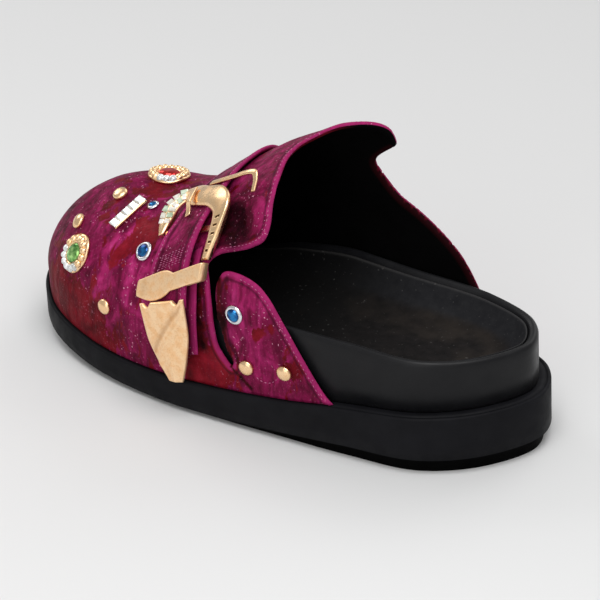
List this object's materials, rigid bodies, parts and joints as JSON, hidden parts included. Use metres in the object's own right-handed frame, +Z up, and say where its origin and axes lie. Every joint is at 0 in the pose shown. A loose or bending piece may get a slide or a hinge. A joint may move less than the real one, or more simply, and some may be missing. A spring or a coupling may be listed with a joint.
{
  "type": "clog",
  "caption": "Open-back clog for the left foot: thick black sole, cupped footbed, brocade upper with side slit, buckled strap and set stones.",
  "frame": {"origin": "middle of the overall box, on the floor plane under the sole", "axes": "+X to the toe, +Y to the wearer's outer side of this left shoe, +Z up"},
  "size_m": [0.246, 0.1006, 0.1185],
  "materials": {
    "rubber": "matte",
    "wrap": "smooth satin",
    "sock": "napped",
    "brocade": "woven figured sheen",
    "gold": "engraved gilt",
    "silver": "polished",
    "green": "faceted",
    "red": "faceted",
    "blue": "faceted",
    "crystal": "faceted"
  },
  "bodies": {
    "root": {"outsole": "rubber", "footbed": "wrap", "insole": "sock", "upper": "brocade", "under_strap": "brocade", "tip_strap": "brocade", "buckle_frame": "gold", "buckle_crystals": "crystal", "buckle_prong": "gold", "buckle_loop": "gold", "keeper": "gold", "strap_tip": "gold", "bezel_green_toe": "gold", "stone_green_toe": "green", "bezel_red_vamp": "gold", "stone_red_vamp": "red", "bezel_blue_vamp": "silver", "stone_blue_vamp": "blue", "bezel_blue_bar": "silver", "stone_blue_bar": "blue", "bezel_blue_wing": "silver", "stone_blue_wing": "blue", "crystal_tray": "gold", "crystal_stones": "crystal", "stud_toe_top": "gold", "stud_toe_outer": "gold", "stud_vamp_side": "gold", "stud_wing_front": "gold", "stud_wing_rear": "gold"}
  },
  "joints": []
}
